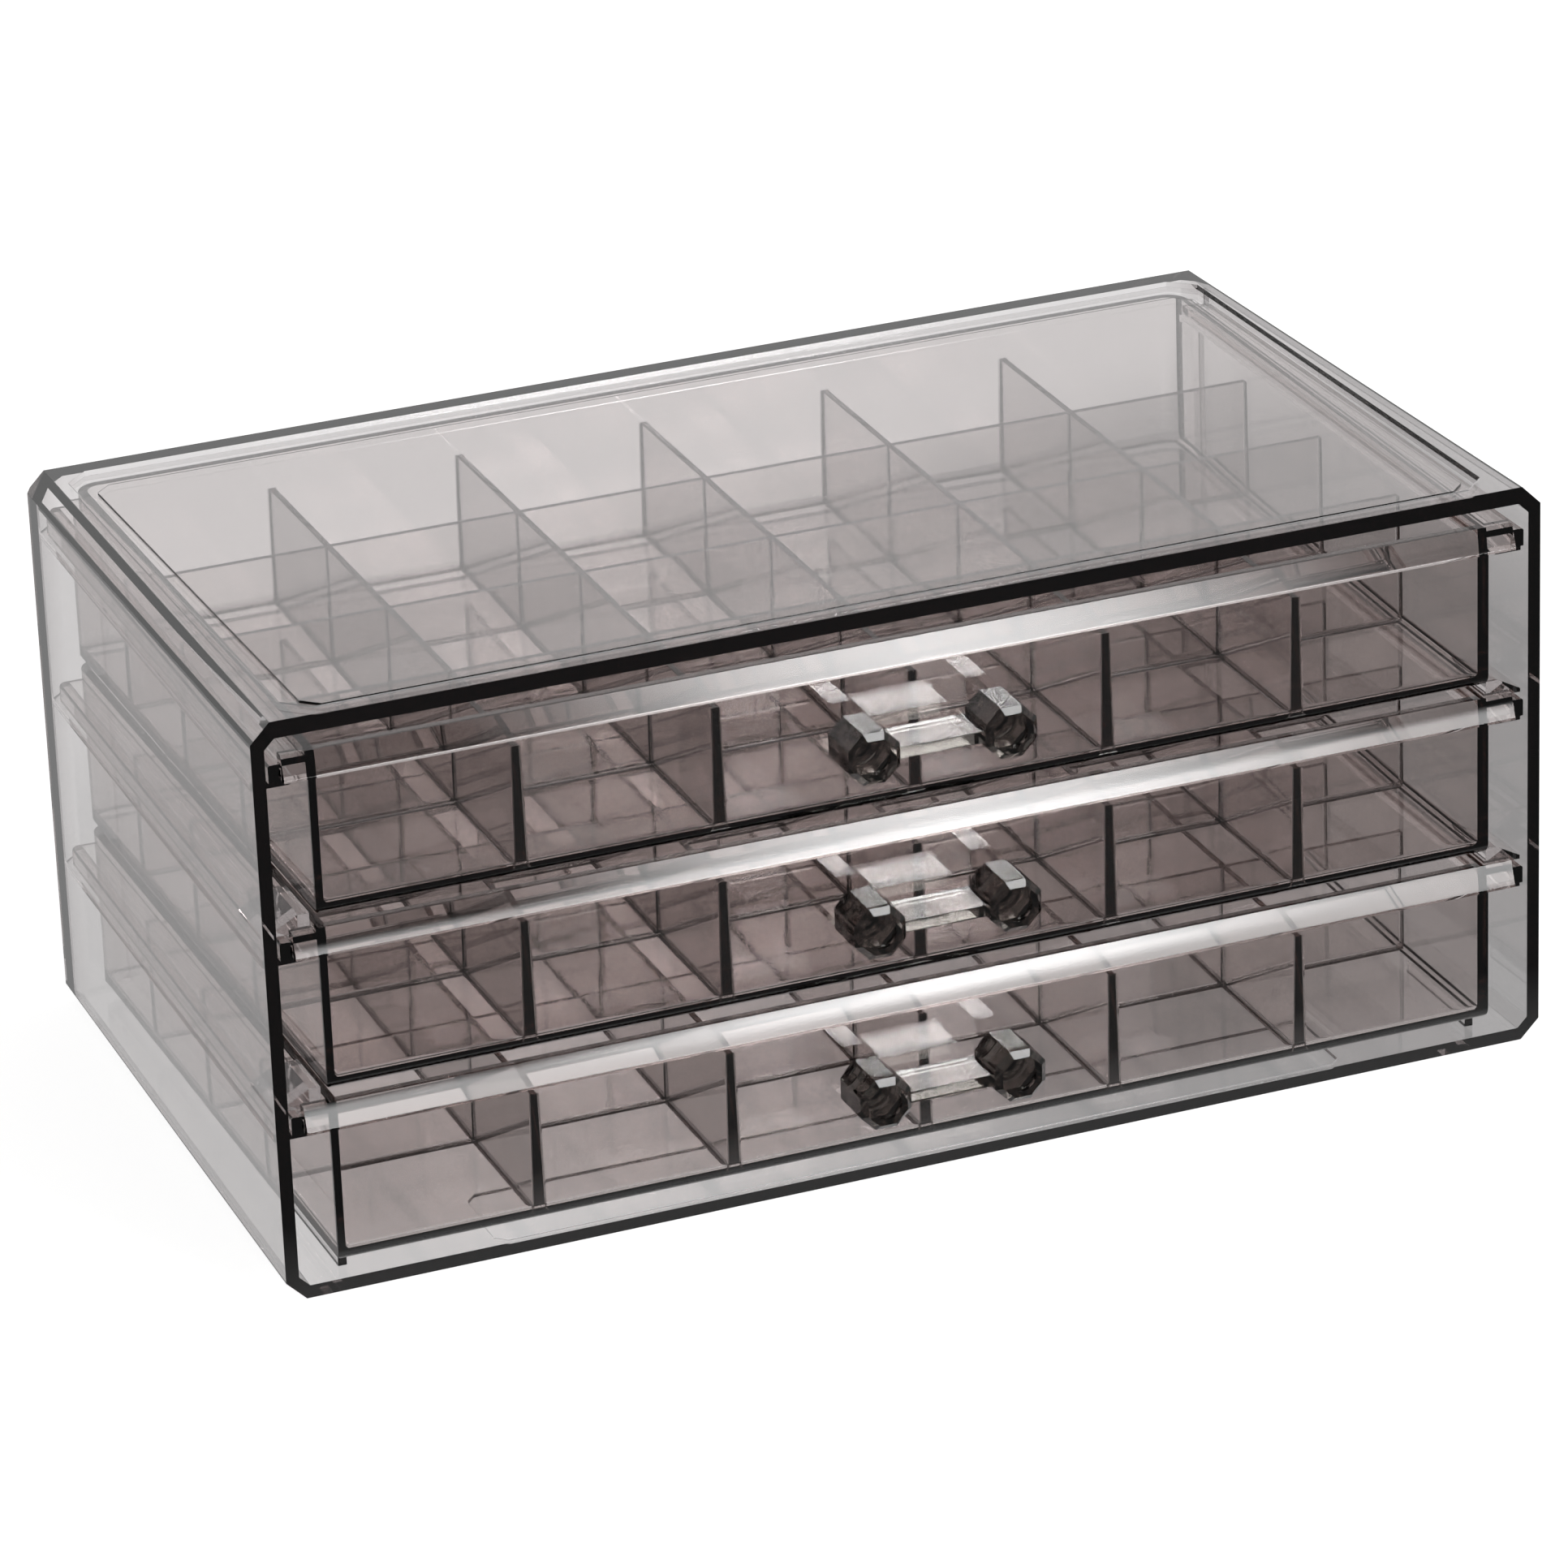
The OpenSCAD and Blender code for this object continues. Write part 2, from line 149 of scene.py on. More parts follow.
@dataclass(frozen=True)
class ClearPolystyrene:
    """Injection-moulded clear polystyrene with a smoke tint in the melt.

    The eye sees a hard, glassy gloss, a tint that deepens with every wall the light passes, plate edges
    that go black because light runs along inside them, and a faint waviness where the melt shrank as it
    cooled.
    """

    name: str
    # Colour that is left after light has crossed the plastic, and how strongly it is taken out per metre
    tint: str
    density: float
    # Faint streaks of the melt's flow, between two nearly white surface tints
    streak_light: str = "#FFFFFF"
    streak_dark: str = "#FCFBFB"
    streak_mm: float = 45.0
    streak_detail: float = 2.0
    # The streaks run front to back, as the melt flowed, so the pattern's scale that way is this much less
    streak_draw: float = 0.25
    # Shrink marks: size of one wave, its height, and how fine it is
    wave_mm: float = 22.0
    wave_height_mm: float = 0.02
    wave_detail: float = 1.0
    wave_roughness: float = 0.4
    # Handling haze: the gloss is best where it is least
    haze_mm: float = 9.0
    haze_detail: float = 3.0
    haze_span: Pair = (0.35, 0.75)
    gloss_best: float = 0.004
    gloss_worst: float = 0.03
    ior: float = 1.59

    def material(self) -> bpy.types.Material:
        """Builds the material once and hands out the same one afterwards.

        Returns:
            The finish as a node material.
        """
        made = bpy.data.materials.get(self.name)
        if made:
            return made
        made = bpy.data.materials.new(self.name)
        made.use_nodes = True
        tree = made.node_tree
        tree.nodes.clear()
        place = add_node(tree, "ShaderNodeTexCoord").outputs["Object"]
        drawn = add_node(tree, "ShaderNodeMapping", {
            "Vector": place, "Scale": (1.0, self.streak_draw, 1.0)})
        streaks = add_node(tree, "ShaderNodeTexNoise", {
            "Vector": drawn.outputs["Vector"], "Scale": 1 / (self.streak_mm * MM),
            "Detail": self.streak_detail})
        tint = add_node(tree, "ShaderNodeMix", {
            0: streaks.outputs["Fac"], 6: linear(self.streak_dark), 7: linear(self.streak_light)},
            data_type="RGBA")
        haze = add_node(tree, "ShaderNodeTexNoise", {
            "Vector": place, "Scale": 1 / (self.haze_mm * MM), "Detail": self.haze_detail})
        clear, hazy = self.haze_span
        rough = add_node(tree, "ShaderNodeMapRange", {
            "Value": haze.outputs["Fac"], "From Min": clear, "From Max": hazy,
            "To Min": self.gloss_best, "To Max": self.gloss_worst})
        waves = add_node(tree, "ShaderNodeTexNoise", {
            "Vector": place, "Scale": 1 / (self.wave_mm * MM), "Detail": self.wave_detail,
            "Roughness": self.wave_roughness})
        bump = add_node(tree, "ShaderNodeBump", {
            "Height": waves.outputs["Fac"], "Distance": self.wave_height_mm * MM, "Strength": 1.0})
        body = add_node(tree, "ShaderNodeBsdfPrincipled", {
            "Base Color": tint.outputs[2], "Roughness": rough.outputs["Result"],
            "Normal": bump.outputs["Normal"], "IOR": self.ior, "Transmission Weight": 1.0})
        absorb = add_node(tree, "ShaderNodeVolumeAbsorption", {
            "Color": linear(self.tint), "Density": self.density})
        add_node(tree, "ShaderNodeOutputMaterial", {
            "Surface": body.outputs["BSDF"], "Volume": absorb.outputs["Volume"]})
        return made


CASE_PLASTIC = ClearPolystyrene("moulded_smoke_polystyrene_case", tint="#C9C2C2", density=104.0)
TRAY_PLASTIC = ClearPolystyrene("moulded_smoke_polystyrene_tray", tint="#CBBCB8", density=200.0)
DIVIDER_PLASTIC = ClearPolystyrene("moulded_smoke_polystyrene_divider", tint="#CBBCB8", density=200.0,
                                   wave_mm=16.0)
HANDLE_PLASTIC = ClearPolystyrene("moulded_smoke_polystyrene_handle", tint="#BBB8B4", density=300.0,
                                  wave_mm=8.0, streak_mm=12.0)


@dataclass
class Moulding:
    """One moulded piece that starts from its solid and gets the soft edges that a mould leaves."""

    node: str
    name: str
    body: str
    slot: str
    finish: ClearPolystyrene
    edge_mm: float = 0.25
    edge_segments: int = 2
    # Edges bent more than these are rounded, and shaded as creases
    sharp_degrees: float = 28.0
    crease_degrees: float = 24.0
    # How close corners are merged, how thin slivers go, and how flat neighbours are joined
    merge_mm: float = 0.002
    sliver_mm: float = 0.001
    flat_degrees: float = 0.3
    flat_weight: int = 100

    def copy_solid(self) -> bmesh.types.BMesh:
        """Copies the solid's triangles, merges them, and joins flat neighbours into whole faces.

        Returns:
            The mesh to work on, in metres and in place.
        """
        work = bmesh.new()
        work.from_mesh(bpy.data.objects[self.node].data)
        bmesh.ops.remove_doubles(work, verts=work.verts, dist=self.merge_mm * MM)
        bmesh.ops.dissolve_degenerate(work, edges=work.edges, dist=self.sliver_mm * MM)
        bmesh.ops.dissolve_limit(work, angle_limit=math.radians(self.flat_degrees), verts=work.verts,
                                 edges=work.edges, delimit={"NORMAL"})
        return work

    def shape(self, work: bmesh.types.BMesh) -> None:
        """Changes the copied solid before its edges are softened; plain mouldings leave it as it is.

        Args:
            work: The mesh to change.
        """

    def round_edges(self, obj: bpy.types.Object) -> None:
        """Rounds every sharp edge by the mould's small radius.

        Args:
            obj: The piece, whose mesh is replaced.
        """
        soft = obj.modifiers.new("mould_edges", "BEVEL")
        soft.width = self.edge_mm * MM
        soft.segments = self.edge_segments
        soft.limit_method = "ANGLE"
        soft.angle_limit = math.radians(self.sharp_degrees)
        soft.use_clamp_overlap = True
        bake_modifiers(obj)

    def smooth(self, obj: bpy.types.Object) -> None:
        """Shades the rounded edges smoothly and keeps the flat faces optically flat.

        Args:
            obj: The piece, whose mesh is replaced.
        """
        obj.data.shade_smooth()
        obj.data.set_sharp_from_angle(angle=math.radians(self.crease_degrees))
        # The flat faces' normals outweigh those of the narrow rounded edges
        flat = obj.modifiers.new("flat_faces", "WEIGHTED_NORMAL")
        flat.mode = "FACE_AREA"
        flat.weight = self.flat_weight
        flat.keep_sharp = True
        bake_modifiers(obj)

    def build(self) -> bpy.types.Object:
        """Builds the piece, dresses it, and puts it on its body in place of the plain solid.

        Returns:
            The finished object.
        """
        work = self.copy_solid()
        self.shape(work)
        mesh = self.write(work)
        work.free()
        return self.dress(mesh)

    def write(self, work: bmesh.types.BMesh) -> bpy.types.Mesh:
        """Writes a mesh with its corners and faces in order of place, which is the same in every run.

        Args:
            work: The finished shape.

        Returns:
            The new mesh.
        """
        corners = sorted(work.verts, key=lambda vert: tuple(vert.co))
        number = {vert: index for index, vert in enumerate(corners)}
        faces = []
        for face in work.faces:
            loop = [number[vert] for vert in face.verts]
            first = loop.index(min(loop))
            faces.append(loop[first:] + loop[:first])
        mesh = bpy.data.meshes.new(self.name)
        mesh.from_pydata([tuple(vert.co) for vert in corners], [], sorted(faces))
        return mesh

    def dress(self, mesh: bpy.types.Mesh) -> bpy.types.Object:
        """Gives a raw mesh its soft edges and finish and hands it to the frame.

        Args:
            mesh: The piece's raw mesh, in place.

        Returns:
            The finished object.
        """
        obj = bpy.data.objects.new(self.name, mesh)
        bpy.context.scene.collection.objects.link(obj)
        self.round_edges(obj)
        self.smooth(obj)
        obj.data.materials.clear()
        obj.data.materials.append(self.finish.material())
        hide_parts(self.node)
        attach(obj, self.body)
        LOG.info("%s on %s, %d faces", self.name, self.body, len(obj.data.polygons))
        return obj


def bake_modifiers(obj: bpy.types.Object) -> None:
    """Turns an object's modifiers into its plain mesh and removes them.

    Args:
        obj: The object, which gets the new mesh.
    """
    graph = bpy.context.evaluated_depsgraph_get()
    made = bpy.data.meshes.new_from_object(obj.evaluated_get(graph), preserve_all_data_layers=True,
                                           depsgraph=graph)
    made.name = obj.name
    obj.modifiers.clear()
    obj.data = made


@dataclass
class Case(Moulding):
    """Outer case: floor, sides, back, and a top with a groove round its raised panel."""

    node: str = "case"
    name: str = "organizer_case"
    body: str = "case"
    slot: str = "case_plastic"
    finish: ClearPolystyrene = CASE_PLASTIC
    edge_mm: float = 0.22


@dataclass
class Tray(Moulding):
    """Drawer tray with a sloped lip, side flanges with runners, and rounded corners at its floor."""

    level: Level = Level.TOP
    node: str = ""
    name: str = ""
    body: str = ""
    slot: str = "tray_plastic"
    finish: ClearPolystyrene = TRAY_PLASTIC
    floor_mm: float = 1.6
    # Inner corners round the floor
    fillet_mm: float = 1.5
    fillet_segments: int = 6
    # Bend at the lower edge of the front: its radius and its facets
    foot_mm: float = 2.6
    foot_cuts: int = 5
    # Height of the band that the front is found in, and how close to a cut a corner counts as on it
    foot_band_mm: float = 0.5
    cut_mm: float = 0.0001

    def __post_init__(self) -> None:
        """Names the tray for its level."""
        self.node = f"tray_{self.level.value}"
        self.name = f"drawer_tray_{self.level.value}"
        self.body = self.level.body

    def shape(self, work: bmesh.types.BMesh) -> None:
        """Rounds the inner corners where the floor meets the walls, then the lower edge of the front.

        Args:
            work: The mesh to change.
        """
        floor_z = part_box(self.node)[0].z + self.floor_mm * MM
        inner = [e for e in work.edges
                 if all(abs(v.co.z - floor_z) < NEAR for v in e.verts) and not e.is_convex
                 and e.is_manifold and e.calc_face_angle() > math.radians(self.sharp_degrees)]
        bmesh.ops.bevel(work, geom=inner, offset=self.fillet_mm * MM, segments=self.fillet_segments,
                        profile=ARC, affect="EDGES", offset_type="OFFSET", clamp_overlap=True)
        LOG.info("%s: %d inner floor edges rounded", self.name, len(inner))
        self.round_foot(work)

    def round_foot(self, work: bmesh.types.BMesh) -> None:
        """Rounds the lower edge of the drawer front, one tangent cut after another.

        Args:
            work: The mesh to change.
        """
        foot_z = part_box(self.node)[0].z
        front_y = min(v.co.y for v in work.verts if v.co.z < foot_z + self.foot_band_mm * MM)
        radius = self.foot_mm * MM
        middle = Vector((0.0, front_y + radius, foot_z + radius))
        for step in range(self.foot_cuts):
            angle = math.pi / 2 * (step + 0.5) / self.foot_cuts
            out = Vector((0.0, -math.cos(angle), -math.sin(angle)))
            cut = bmesh.ops.bisect_plane(work, geom=work.verts[:] + work.edges[:] + work.faces[:],
                                         dist=self.cut_mm * MM, plane_co=middle + out * radius,
                                         plane_no=out, clear_outer=True)
            rim = [e for e in cut["geom_cut"] if isinstance(e, bmesh.types.BMEdge)]
            bmesh.ops.contextual_create(work, geom=rim)
        bmesh.ops.recalc_face_normals(work, faces=work.faces[:])


@dataclass
class Handle(Moulding):
    """Dumbbell pull: two eight-sided knobs with dimpled faces, joined by a flat bar."""

    level: Level = Level.TOP
    node: str = ""
    name: str = ""
    body: str = ""
    slot: str = "handle_plastic"
    finish: ClearPolystyrene = HANDLE_PLASTIC
    edge_mm: float = 0.18
    # Air left between a collar and the drawer front
    seat_mm: float = 0.05

    def __post_init__(self) -> None:
        """Names the handle for its level."""
        self.node = f"handle_{self.level.value}"
        self.name = f"dumbbell_handle_{self.level.value}"
        self.body = self.level.body

    def shape(self, work: bmesh.types.BMesh) -> None:
        """Keeps the collars a hair off the drawer front, so that the two clear faces stay apart.

        Args:
            work: The mesh to change.
        """
        # The seat is the last depth in front of the pegs' ends
        seat = sorted({round(v.co.y / MM, 3) for v in work.verts})[-2]
        for vert in work.verts:
            if abs(vert.co.y - seat * MM) < NEAR:
                vert.co.y -= self.seat_mm * MM


@dataclass
class DividerTree:
    """Geometry tree that makes one tapered divider with a flared foot and a row of half-lap slots."""

    name: str = "half_lap_divider"
    # Rows of faces round the hollow of the foot's flare, and round that of each end's
    flare_rows: int = 8
    end_rows: int = 6
    # Share of the height, from the plate's middle, above which a corner belongs to the top
    top_share: float = 0.47
    # Depth of the slot cutters, in plate thicknesses
    cutter_depth: float = 3.0
    tree: bpy.types.NodeTree | None = None

    # Named inputs with their socket types
    INPUTS: ClassVar[dict[str, str]] = {
        "Length": "NodeSocketFloat", "Height": "NodeSocketFloat", "Top thickness": "NodeSocketFloat",
        "Foot thickness": "NodeSocketFloat", "Flare": "NodeSocketFloat", "End flare": "NodeSocketFloat",
        "Slot count": "NodeSocketInt", "Slot pitch": "NodeSocketFloat", "Slot width": "NodeSocketFloat",
        "Slot height": "NodeSocketFloat", "Slot middle": "NodeSocketFloat", "Place": "NodeSocketVector",
        "Turn": "NodeSocketVector", "Finish": "NodeSocketMaterial",
    }

    def hollow(self, tree: bpy.types.NodeTree,
               turn: bpy.types.NodeSocket) -> tuple[bpy.types.NodeSocket, bpy.types.NodeSocket]:
        """Follows the quarter circle of a flare's hollow.

        Args:
            tree: The tree that gets the nodes.
            turn: Socket with the angle: a quarter turn at the bonded face, none where the flare ends.

        Returns:
            Sockets with the way off the bonded face and the way out of the plate, in flare radii.
        """
        off = calc(tree, "SUBTRACT", 1.0, calc(tree, "SINE", turn))
        out = calc(tree, "SUBTRACT", 1.0, calc(tree, "COSINE", turn))
        return off, out

    def plate(self, tree: bpy.types.NodeTree, given: Any) -> bpy.types.NodeSocket:
        """Makes the plate: a box whose lowest and outermost rows follow the flares into floor and walls.

        Args:
            tree: The tree that gets the nodes.
            given: The tree's inputs.

        Returns:
            The socket with the plate's mesh.
        """
        size = add_node(tree, "ShaderNodeCombineXYZ", {
            "X": given["Length"], "Y": given["Foot thickness"], "Z": given["Height"]})
        box = add_node(tree, "GeometryNodeMeshCube", {
            "Size": size.outputs["Vector"], "Vertices X": 2 * self.end_rows + 2,
            "Vertices Z": self.flare_rows + 2})
        at = add_node(tree, "ShaderNodeSeparateXYZ", {
            0: add_node(tree, "GeometryNodeInputPosition").outputs["Position"]}).outputs
        # The rows turn from level at the floor to upright where the flare ends; the top row stays on top
        low = calc(tree, "MULTIPLY", given["Height"], -0.5)
        high = calc(tree, "MULTIPLY", given["Height"], self.flare_rows / (self.flare_rows + 1) - 0.5)
        turn = add_node(tree, "ShaderNodeMapRange", {
            "Value": at["Z"], "From Min": low, "From Max": high,
            "To Min": math.pi / 2, "To Max": 0.0}, clamp=True).outputs["Result"]
        up, out = self.hollow(tree, turn)
        rise = calc(tree, "MULTIPLY", up, given["Flare"])
        under_top = calc(tree, "MULTIPLY", given["Height"], self.top_share)
        is_top = calc(tree, "GREATER_THAN", at["Z"], under_top)
        above = add_node(tree, "ShaderNodeMix", {
            0: is_top, 2: rise, 3: given["Height"]}, data_type="FLOAT").outputs[0]
        taper = add_node(tree, "ShaderNodeMapRange", {
            "Value": above, "From Max": given["Height"], "To Min": given["Foot thickness"],
            "To Max": given["Top thickness"]}).outputs["Result"]
        # The same turn lengthwise, from the last upright row to the end that is bonded to a wall
        half = calc(tree, "MULTIPLY", given["Length"], 0.5)
        inner = calc(tree, "MULTIPLY", half, 1 / (2 * self.end_rows + 1))
        end_turn = add_node(tree, "ShaderNodeMapRange", {
            "Value": calc(tree, "ABSOLUTE", at["X"]), "From Min": inner, "From Max": half,
            "To Min": 0.0, "To Max": math.pi / 2}, clamp=True).outputs["Result"]
        end_off, end_out = self.hollow(tree, end_turn)
        far = calc(tree, "SUBTRACT", half, calc(tree, "MULTIPLY", end_off, given["End flare"]))
        # Both flares widen the plate, on both sides
        foot_spread = calc(tree, "MULTIPLY", out, given["Flare"])
        spread = calc(tree, "MULTIPLY_ADD", end_out, given["End flare"], foot_spread)
        wide = calc(tree, "MULTIPLY_ADD", spread, 2.0, taper)
        share = calc(tree, "DIVIDE", wide, given["Foot thickness"])
        moved = add_node(tree, "ShaderNodeCombineXYZ", {
            "X": calc(tree, "MULTIPLY", far, calc(tree, "SIGN", at["X"])),
            "Y": calc(tree, "MULTIPLY", at["Y"], share), "Z": calc(tree, "ADD", above, low)})
        return add_node(tree, "GeometryNodeSetPosition", {
            "Geometry": box.outputs["Mesh"], "Position": moved.outputs["Vector"]}).outputs["Geometry"]

    def build(self) -> bpy.types.NodeTree:
        """Builds the tree once.

        Returns:
            The node tree, ready for a modifier.
        """
        if self.tree:
            return self.tree
        tree = bpy.data.node_groups.new(self.name, "GeometryNodeTree")
        for label, kind in self.INPUTS.items():
            tree.interface.new_socket(label, in_out="INPUT", socket_type=kind)
        tree.interface.new_socket("Divider", in_out="OUTPUT", socket_type="NodeSocketGeometry")
        given = add_node(tree, "NodeGroupInput").outputs

        plate = self.plate(tree, given)
        # A centred row of cutters, one slot each
        gaps = calc(tree, "SUBTRACT", given["Slot count"], 1.0)
        span = calc(tree, "MULTIPLY", gaps, given["Slot pitch"])
        first = calc(tree, "MULTIPLY", span, -0.5)
        start = add_node(tree, "ShaderNodeCombineXYZ", {"X": first, "Z": given["Slot middle"]})
        step = add_node(tree, "ShaderNodeCombineXYZ", {"X": given["Slot pitch"]})
        row = add_node(tree, "GeometryNodeMeshLine", {
            "Count": given["Slot count"], "Start Location": start.outputs["Vector"],
            "Offset": step.outputs["Vector"]}, mode="OFFSET")
        thick = calc(tree, "MULTIPLY", given["Foot thickness"], self.cutter_depth)
        cut_size = add_node(tree, "ShaderNodeCombineXYZ", {
            "X": given["Slot width"], "Y": thick, "Z": given["Slot height"]})
        cutter = add_node(tree, "GeometryNodeMeshCube", {"Size": cut_size.outputs["Vector"]})
        cutters = add_node(tree, "GeometryNodeInstanceOnPoints", {
            "Points": row.outputs["Mesh"], "Instance": cutter.outputs["Mesh"]})
        solid = add_node(tree, "GeometryNodeRealizeInstances", {"Geometry": cutters.outputs["Instances"]})
        slotted = add_node(tree, "GeometryNodeMeshBoolean", {
            "Mesh 1": plate, "Mesh 2": solid.outputs["Geometry"]},
            operation="DIFFERENCE", solver="EXACT")

        placed = add_node(tree, "GeometryNodeTransform", {
            "Geometry": slotted.outputs["Mesh"], "Translation": given["Place"], "Rotation": given["Turn"]})
        real = add_node(tree, "GeometryNodeRealizeInstances", {"Geometry": placed.outputs["Geometry"]})
        dressed = add_node(tree, "GeometryNodeSetMaterial", {
            "Geometry": real.outputs["Geometry"], "Material": given["Finish"]})
        add_node(tree, "NodeGroupOutput", {"Divider": dressed.outputs["Geometry"]})
        self.tree = tree
        return tree

    def attach(self, obj: bpy.types.Object, values: dict[str, Any]) -> None:
        """Puts the tree on an object as a modifier with its inputs set.

        Args:
            obj: The object that the tree makes the mesh of.
            values: Input name to value.
        """
        tree = self.build()
        modifier = obj.modifiers.new(self.name, "NODES")
        keys = {item.name: item.identifier for item in tree.interface.items_tree if item.in_out == "INPUT"}
        modifier.node_group = tree
        for label, value in values.items():
            modifier[keys[label]] = value


DIVIDER_TREE = DividerTree()


@dataclass
class Divider(Moulding):
    """One plate of the egg-crate, tapered to its top, slotted to half its height and bonded all round."""

    level: Level = Level.TOP
    run: Run = Run.LENGTHWISE
    number: int = 1
    node: str = ""
    name: str = ""
    body: str = ""
    slot: str = "divider_plastic"
    finish: ClearPolystyrene = DIVIDER_PLASTIC
    edge_mm: float = 0.12
    # Thickness at the top and at the foot, and radius of the flares at the foot and at the ends
    top_mm: float = 1.2
    foot_mm: float = 2.0
    flare_mm: float = 0.55
    end_flare_mm: float = 0.4
    # The solid's clearance at its ends, and how far the bonded plate reaches into what it meets
    fit_mm: float = 0.15
    bond_mm: float = 0.06
    # How far a slot's cutter stands out of the plate, and the least length of an edge that is rounded
    cutter_over_mm: float = 2.0
    least_edge_mm: float = 1.0
    # Slots that take the crosswise plates, and those that take the lengthwise ones
    cross_slots: int = 3
    cross_pitch_mm: float = 32.2
    cross_slot_mm: float = 1.5
    long_slots: int = 5
    long_pitch_mm: float = 36.4167
    long_slot_mm: float = 1.1

    def __post_init__(self) -> None:
        """Names the divider for its level, run and number."""
        kind = "long" if self.run is Run.LENGTHWISE else "cross"
        self.node = f"{kind}_divider_{self.level.value}_{self.number}"
        self.name = f"{self.run.name.lower()}_divider_{self.level.value}_{self.number}"
        self.body = self.level.body

    def build(self) -> bpy.types.Object:
        """Makes the plate with the divider tree and dresses it.

        Returns:
            The finished object.
        """
        low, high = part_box(self.node)
        lengthwise = self.run is Run.LENGTHWISE
        between = (high.y - low.y) if lengthwise else (high.x - low.x)
        length = between + 2 * (self.fit_mm + self.bond_mm) * MM
        height = high.z - low.z + self.bond_mm * MM
        middle = (low + high) / 2 - Vector((0, 0, self.bond_mm * MM / 2))
        # A lengthwise plate is slotted from below, a crosswise one from above, each to nearly half height
        depth = height / 2 - self.bond_mm * MM
        over = self.cutter_over_mm * MM
        slot_z = (depth - over) / 2 - height / 2 if lengthwise else height / 2 - (depth - over) / 2
        obj = bpy.data.objects.new(self.name, bpy.data.meshes.new(self.name))
        bpy.context.scene.collection.objects.link(obj)
        DIVIDER_TREE.attach(obj, {
            "Length": length, "Height": height, "Top thickness": self.top_mm * MM,
            "Foot thickness": self.foot_mm * MM, "Flare": self.flare_mm * MM,
            "End flare": self.end_flare_mm * MM,
            "Slot count": self.cross_slots if lengthwise else self.long_slots,
            "Slot pitch": (self.cross_pitch_mm if lengthwise else self.long_pitch_mm) * MM,
            "Slot width": (self.cross_slot_mm if lengthwise else self.long_slot_mm) * MM,
            "Slot height": depth + over, "Slot middle": slot_z,
            "Place": tuple(middle), "Turn": (0.0, 0.0, self.run.value), "Finish": self.finish.material(),
        })
        bake_modifiers(obj)
        mesh = obj.data
        bpy.data.objects.remove(obj)
        return self.dress(mesh)

    def round_edges(self, obj: bpy.types.Object) -> None:
        """Rounds the two long edges along the plate's top, the only ones that aren't bonded.

        Args:
            obj: The piece, whose mesh is changed.
        """
        work = bmesh.new()
        work.from_mesh(obj.data)
        top = max(v.co.z for v in work.verts)
        along = 1 if self.run is Run.LENGTHWISE else 0
        edges = [e for e in work.edges
                 if all(top - v.co.z < NEAR for v in e.verts)
                 and abs(e.verts[0].co[along] - e.verts[1].co[along]) > self.least_edge_mm * MM
                 and e.calc_face_angle(0.0) > math.radians(self.sharp_degrees)]
        bmesh.ops.bevel(work, geom=edges, offset=self.edge_mm * MM, segments=self.edge_segments,
                        profile=ARC, affect="EDGES", offset_type="OFFSET", clamp_overlap=True)
        work.to_mesh(obj.data)
        work.free()


@dataclass
class Drawer:
    """One sliding drawer: its tray, its handle and its egg-crate of dividers."""

    level: Level
    long_count: int = 5
    cross_count: int = 3

    def build(self) -> list[bpy.types.Object]:
        """Builds the drawer's pieces in the order they are put together.

        Returns:
            The tray, the handle and the dividers.
        """
        pieces = [Tray(level=self.level).build(), Handle(level=self.level).build()]
        for run, count in ((Run.CROSSWISE, self.cross_count), (Run.LENGTHWISE, self.long_count)):
            pieces += [Divider(level=self.level, run=run, number=n).build() for n in range(1, count + 1)]
        return pieces


@dataclass(frozen=True)
class SoftBox:
    """A rectangular studio lamp whose brightness falls off towards its edges."""

    name: str
    place: Triple
    aim: Triple
    width: float
    height: float
    radiance: float
    # Share of the half width, and of the half height, over which the brightness fades
    fade_width: float = 0.6
    fade_height: float = 0.3
    # Whether light that comes out of the plastic shows the lamp; if not, only the outer gloss mirrors it
    through_plastic: bool = False

    def build(self) -> bpy.types.Object:
        """Adds the lamp to the scene.

        Returns:
            The lamp object.
        """
        lamp = bpy.data.lights.new(self.name, "AREA")
        lamp.shape = "RECTANGLE"
        lamp.size, lamp.size_y = self.width, self.height
        lamp.energy = self.radiance * math.pi * self.width * self.height
        lamp.use_nodes = True
        tree = lamp.node_tree
        tree.nodes.clear()
        at = add_node(tree, "ShaderNodeSeparateXYZ", {
            0: add_node(tree, "ShaderNodeNewGeometry").outputs["Parametric"]})
        shares = []
        for axis, fade in (("X", self.fade_width), ("Y", self.fade_height)):
            from_middle = calc(tree, "ABSOLUTE", calc(tree, "SUBTRACT", at.outputs[axis], 0.5))
            shares.append(add_node(tree, "ShaderNodeMapRange", {
                "Value": from_middle, "From Min": 0.5, "From Max": 0.5 * (1 - fade)},
                interpolation_type="SMOOTHSTEP").outputs["Result"])
        bright = calc(tree, "MULTIPLY", shares[0], shares[1])
        shine = add_node(tree, "ShaderNodeEmission", {"Strength": bright})
        add_node(tree, "ShaderNodeOutputLight", {"Surface": shine.outputs["Emission"]})
        obj = bpy.data.objects.new(self.name, lamp)
        bpy.context.scene.collection.objects.link(obj)
        obj.location = self.place
        away = Vector(self.place) - Vector(self.aim)
        obj.rotation_euler = away.to_track_quat("Z", "Y").to_euler()
        obj.visible_camera = False
        obj.visible_transmission = self.through_plastic
        return obj


